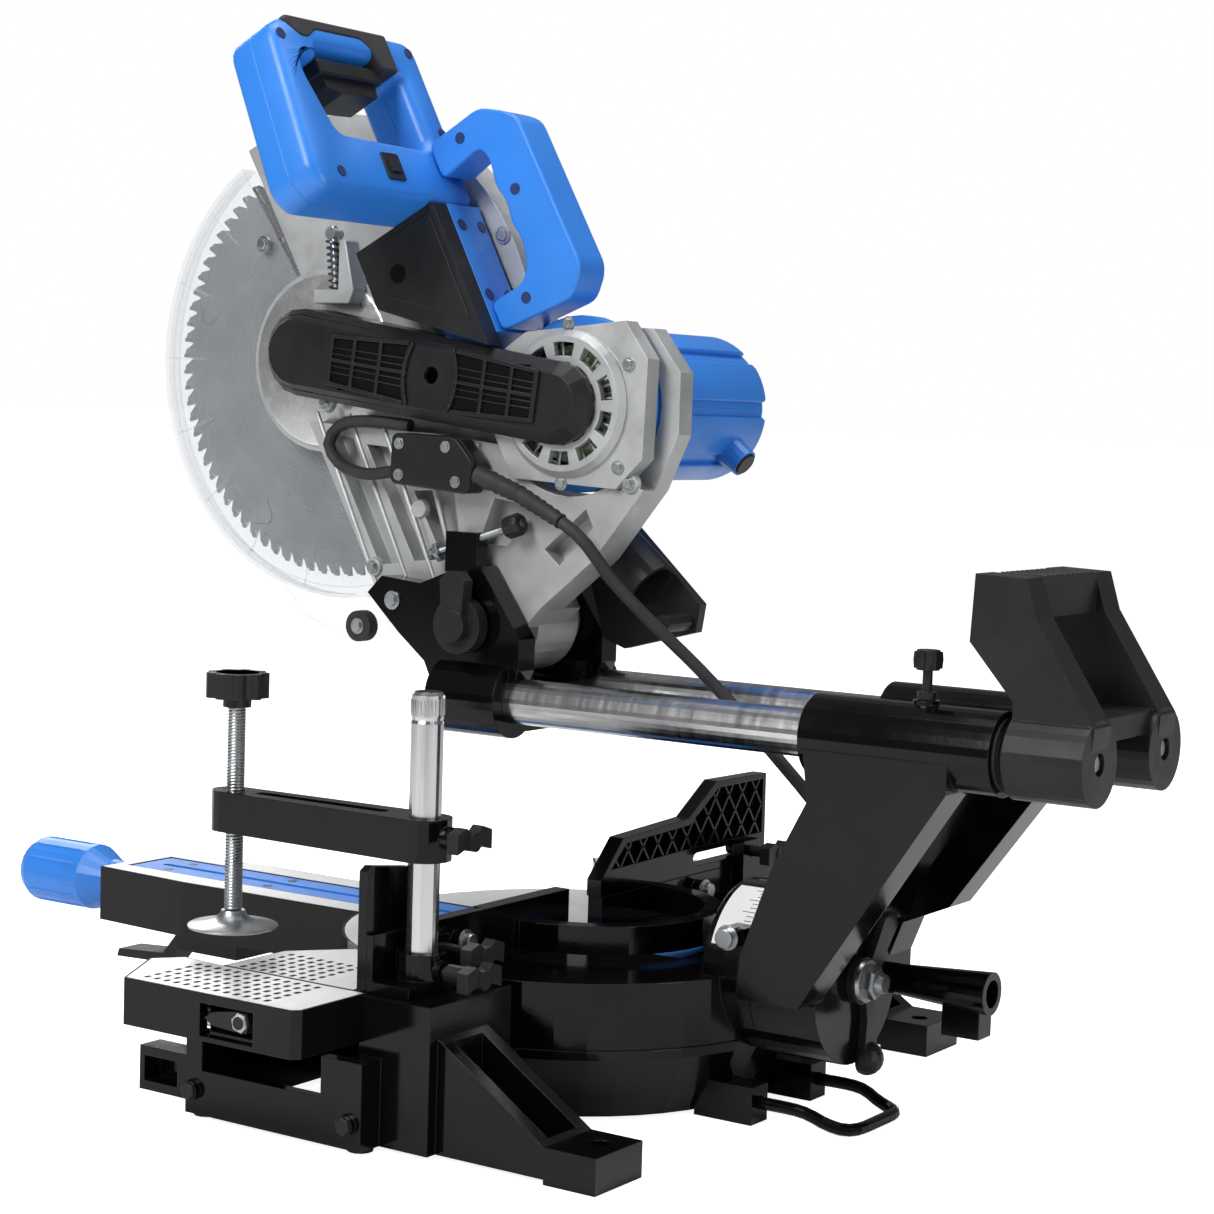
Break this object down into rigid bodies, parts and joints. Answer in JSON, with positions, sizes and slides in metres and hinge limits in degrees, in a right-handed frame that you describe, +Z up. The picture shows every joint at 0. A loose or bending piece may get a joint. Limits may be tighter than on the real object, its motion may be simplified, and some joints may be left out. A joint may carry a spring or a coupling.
{
  "type": "sliding compound mitre saw",
  "caption": "Sliding compound mitre saw on its own cast base, with twin rails, tilting arm, belt-driven blade, sliding fences, end tables and a hold-down clamp.",
  "frame": {"origin": "centre of the saw's footprint on the floor, below the middle of its bounding box without the cord", "axes": "+X to the saw's right, +Y from the mitre handle to the rear handle, +Z up"},
  "size_m": [0.7108, 0.902, 0.6922],
  "materials": {
    "black_paint": "satin black paint on cast aluminium",
    "black_plastic": "moulded black plastic",
    "black_rubber": "black rubber",
    "blue_plastic": "moulded blue plastic",
    "cast_aluminium": "bare cast aluminium",
    "chrome": "polished chrome plate",
    "zinc_steel": "bright zinc-plated steel",
    "blade_steel": "ground saw blade steel",
    "clear_plastic": "clear plastic"
  },
  "bodies": {
    "base": {"base_casting": "black_paint", "fence_casting": "black_paint", "clamp_post": "chrome", "pivot_bolt": "zinc_steel", "cord_tube": "black_rubber", "cord_coil": "black_rubber", "plug": "black_rubber"},
    "anti_tip": {"anti_tip_bar": "black_paint"},
    "fence_right": {"fence_right": "black_paint"},
    "fence_left": {"fence_left": "black_paint"},
    "fence_knob_right": {"fence_knob_right": "black_plastic"},
    "fence_knob_left": {"fence_knob_left": "black_plastic"},
    "post_knob": {"post_knob": "black_plastic"},
    "ext_right": {"ext_table_right": "black_paint", "ext_rail_right": "zinc_steel"},
    "ext_left": {"ext_table_left": "black_paint", "ext_rail_left": "zinc_steel"},
    "ext_lever_right": {"ext_lever_right": "black_plastic"},
    "ext_lever_left": {"ext_lever_left": "black_plastic"},
    "clamp_arm": {"clamp_arm": "black_paint"},
    "clamp_arm_knob": {"clamp_arm_knob": "black_plastic"},
    "clamp_pad": {"clamp_pad": "zinc_steel"},
    "clamp_wheel": {"clamp_screw": "zinc_steel", "clamp_handwheel": "black_plastic"},
    "turntable": {"turntable_casting": "black_paint", "kerf_insert": "blue_plastic"},
    "mitre_knob": {"mitre_knob": "blue_plastic"},
    "detent": {"detent_lever": "black_plastic"},
    "bevel_arm": {"bevel_arm_casting": "black_paint", "bevel_nut": "zinc_steel", "bevel_handle": "black_paint"},
    "bevel_lever": {"bevel_lever": "black_plastic"},
    "rail_knob": {"rail_knob": "black_plastic"},
    "carriage": {"carriage": "black_paint", "rail_right": "chrome", "rail_left": "chrome", "pivot_shaft": "zinc_steel", "rear_handle": "black_plastic"},
    "head_lock": {"head_lock_lever": "black_plastic"},
    "depth_screw": {"depth_screw": "zinc_steel"},
    "head": {"arm_casting": "cast_aluminium", "motor_flange": "cast_aluminium", "motor_housing": "blue_plastic", "belt_cover": "black_plastic", "drive_belt": "black_rubber", "belt_box": "black_plastic", "d_handle": "blue_plastic", "handle_spine": "blue_plastic", "carry_handle": "blue_plastic", "junction_box": "black_plastic", "strain_relief": "black_rubber", "loop_cable": "black_rubber", "dust_chute": "black_plastic"},
    "rotor": {"motor_rotor": "zinc_steel"},
    "blade": {"saw_blade": "blade_steel", "arbor": "zinc_steel"},
    "lower_guard": {"lower_guard": "clear_plastic"},
    "guard_roller": {"guard_roller": "black_rubber"},
    "trigger": {"trigger": "black_plastic"},
    "light_switch": {"light_switch": "black_plastic"}
  },
  "joints": [
    {"name": "anti_tip_slide", "type": "slide", "parent": "base", "child": "anti_tip", "axis": [0, 1, 0], "range_m": [0, 0.035]},
    {"name": "fence_right_slide", "type": "slide", "parent": "base", "child": "fence_right", "axis": [1, 0, 0], "range_m": [0, 0.04]},
    {"name": "fence_left_slide", "type": "slide", "parent": "base", "child": "fence_left", "axis": [-1, 0, 0], "range_m": [0, 0.06]},
    {"name": "fence_knob_right_turn", "type": "hinge", "parent": "base", "child": "fence_knob_right", "pos_m": [0.175, 0.114, 0.1115], "axis": [0, 1, 0], "range_deg": [0, 360]},
    {"name": "fence_knob_left_turn", "type": "hinge", "parent": "base", "child": "fence_knob_left", "pos_m": [-0.195, 0.106, 0.126], "axis": [0, 1, 0], "range_deg": [0, 360]},
    {"name": "post_knob_turn", "type": "hinge", "parent": "base", "child": "post_knob", "pos_m": [0.202, 0.132, 0.104], "axis": [0, 1, 0], "range_deg": [0, 360]},
    {"name": "ext_table_right_slide", "type": "slide", "parent": "base", "child": "ext_right", "axis": [1, 0, 0], "range_m": [0, 0.06]},
    {"name": "ext_lever_right_turn", "type": "hinge", "parent": "ext_right", "child": "ext_lever_right", "pos_m": [0.292, 0.022, 0.078], "axis": [1, 0, 0], "range_deg": [-12, 0]},
    {"name": "ext_table_left_slide", "type": "slide", "parent": "base", "child": "ext_left", "axis": [-1, 0, 0], "range_m": [0, 0.06]},
    {"name": "ext_lever_left_turn", "type": "hinge", "parent": "ext_left", "child": "ext_lever_left", "pos_m": [-0.292, 0.022, 0.078], "axis": [1, 0, 0], "range_deg": [-12, 0]},
    {"name": "clamp_arm_slide", "type": "slide", "parent": "base", "child": "clamp_arm", "axis": [0, 0, 1], "range_m": [0, 0.035]},
    {"name": "clamp_arm_knob_turn", "type": "hinge", "parent": "clamp_arm", "child": "clamp_arm_knob", "pos_m": [0.202, 0.122, 0.186], "axis": [0, 1, 0], "range_deg": [0, 360]},
    {"name": "clamp_pad_slide", "type": "slide", "parent": "clamp_arm", "child": "clamp_pad", "axis": [0, 0, 1], "range_m": [-0.015, 0]},
    {"name": "clamp_wheel_turn", "type": "hinge", "parent": "clamp_pad", "child": "clamp_wheel", "pos_m": [0.202, -0.069, 0.26], "axis": [0, 0, 1], "range_deg": [-2700, 0]},
    {"name": "mitre_turn", "type": "hinge", "parent": "base", "child": "turntable", "pos_m": [0, 0.058, 0], "axis": [0, 0, -1], "range_deg": [-45, 45]},
    {"name": "mitre_knob_turn", "type": "hinge", "parent": "turntable", "child": "mitre_knob", "pos_m": [0, -0.412, 0.073], "axis": [0, 1, 0], "range_deg": [-360, 0]},
    {"name": "detent_lever_turn", "type": "hinge", "parent": "turntable", "child": "detent", "pos_m": [0, -0.287, 0.04], "axis": [1, 0, 0], "range_deg": [0, 8], "stiffness_Nm_per_rad": 2, "springref_deg": -5.73},
    {"name": "bevel_turn", "type": "hinge", "parent": "turntable", "child": "bevel_arm", "pos_m": [0, 0.273, 0.092], "axis": [0, 1, 0], "range_deg": [-25, 5]},
    {"name": "bevel_lever_turn", "type": "hinge", "parent": "bevel_arm", "child": "bevel_lever", "pos_m": [0, 0.276, 0.092], "axis": [0, 1, 0], "range_deg": [0, 35]},
    {"name": "rail_knob_turn", "type": "hinge", "parent": "bevel_arm", "child": "rail_knob", "pos_m": [0.05, 0.339, 0.29], "axis": [0, 0, 1], "range_deg": [0, 360]},
    {"name": "head_slide", "type": "slide", "parent": "bevel_arm", "child": "carriage", "axis": [0, 1, 0], "range_m": [0, 0.22]},
    {"name": "head_lock_turn", "type": "hinge", "parent": "carriage", "child": "head_lock", "pos_m": [0.066, 0.003, 0.3], "axis": [1, 0, 0], "range_deg": [0, 90]},
    {"name": "depth_screw_slide", "type": "slide", "parent": "carriage", "child": "depth_screw", "axis": [0, -0.9494, -0.314], "range_m": [-0.004, 0]},
    {"name": "head_turn", "type": "hinge", "parent": "carriage", "child": "head", "pos_m": [0, 0.003, 0.3], "axis": [1, 0, 0], "range_deg": [0, 62], "stiffness_Nm_per_rad": 14, "springref_deg": -57.3, "deforming": ["cord_tube"]},
    {"name": "rotor_turn", "type": "hinge", "parent": "head", "child": "rotor", "pos_m": [0, 0.068, 0.448], "axis": [1, 0, 0], "continuous": true},
    {"name": "blade_turn", "type": "hinge", "parent": "head", "child": "blade", "pos_m": [0, -0.155, 0.473], "axis": [1, 0, 0], "continuous": true},
    {"name": "lower_guard_turn", "type": "hinge", "parent": "head", "child": "lower_guard", "pos_m": [0, -0.155, 0.473], "axis": [1, 0, 0], "range_deg": [-124, 0]},
    {"name": "guard_roller_turn", "type": "hinge", "parent": "lower_guard", "child": "guard_roller", "pos_m": [0.01, -0.12559, 0.28731], "axis": [1, 0, 0], "continuous": true},
    {"name": "trigger_slide", "type": "slide", "parent": "head", "child": "trigger", "axis": [0, -0.4659, 0.8848], "range_m": [0, 0.005], "stiffness_N_per_m": 800, "springref_m": -0.003},
    {"name": "light_switch_slide", "type": "slide", "parent": "head", "child": "light_switch", "axis": [0, -0.8848, -0.4659], "range_m": [0, 0.002], "stiffness_N_per_m": 600, "springref_m": -0.002}
  ],
  "couplings": [
    {"joint": "lower_guard_turn", "follows": "head_turn", "ratio": -2},
    {"joint": "blade_turn", "follows": "rotor_turn", "ratio": 1},
    {"joint": "clamp_wheel_turn", "follows": "clamp_pad_slide", "rad_per_m": 3141.6}
  ]
}
